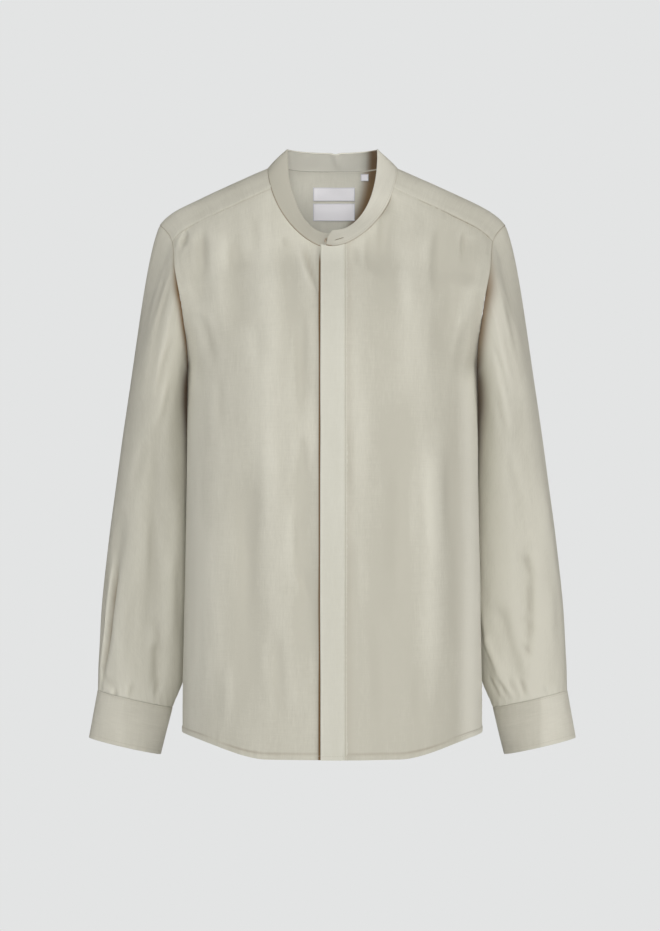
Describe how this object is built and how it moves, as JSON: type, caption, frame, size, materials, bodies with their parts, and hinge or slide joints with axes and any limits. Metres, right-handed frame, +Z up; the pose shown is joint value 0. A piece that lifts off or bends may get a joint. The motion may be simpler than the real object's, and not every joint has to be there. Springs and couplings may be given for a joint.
{
  "type": "band-collar long-sleeved shirt",
  "caption": "Long-sleeved linen shirt with a band collar, a concealed front fastening, a yoke, plain cuffs and a curved hem, hollow and filled out as if worn.",
  "frame": {"origin": "midway between the two points where the collar seam crosses the top of the shoulders", "axes": "+X to the wearer's left, -Y to the wearer's front, +Z up through the neck"},
  "size_m": [0.6124, 0.2437, 0.763],
  "materials": {
    "linen": "plain-weave linen, matt",
    "linen_fused": "the same linen, double and stiffened, matt",
    "satin": "woven satin, soft sheen, blank",
    "button": "horn-coloured, satin"
  },
  "bodies": {
    "root": {"front_right": "linen", "front_left": "linen", "fly": "linen", "yoke": "linen", "back": "linen", "sleeve_left": "linen", "sleeve_right": "linen", "sleeve_placket_left": "linen", "sleeve_placket_right": "linen", "collar_band": "linen_fused", "cuff_left": "linen_fused", "cuff_right": "linen_fused", "label_upper": "satin", "label_lower": "satin", "size_tab": "satin", "collar_button": "button", "cuff_button_left": "button", "cuff_button_right": "button", "fly_button_1": "button", "fly_button_2": "button", "fly_button_3": "button", "fly_button_4": "button", "fly_button_5": "button", "fly_button_6": "button"}
  },
  "joints": []
}
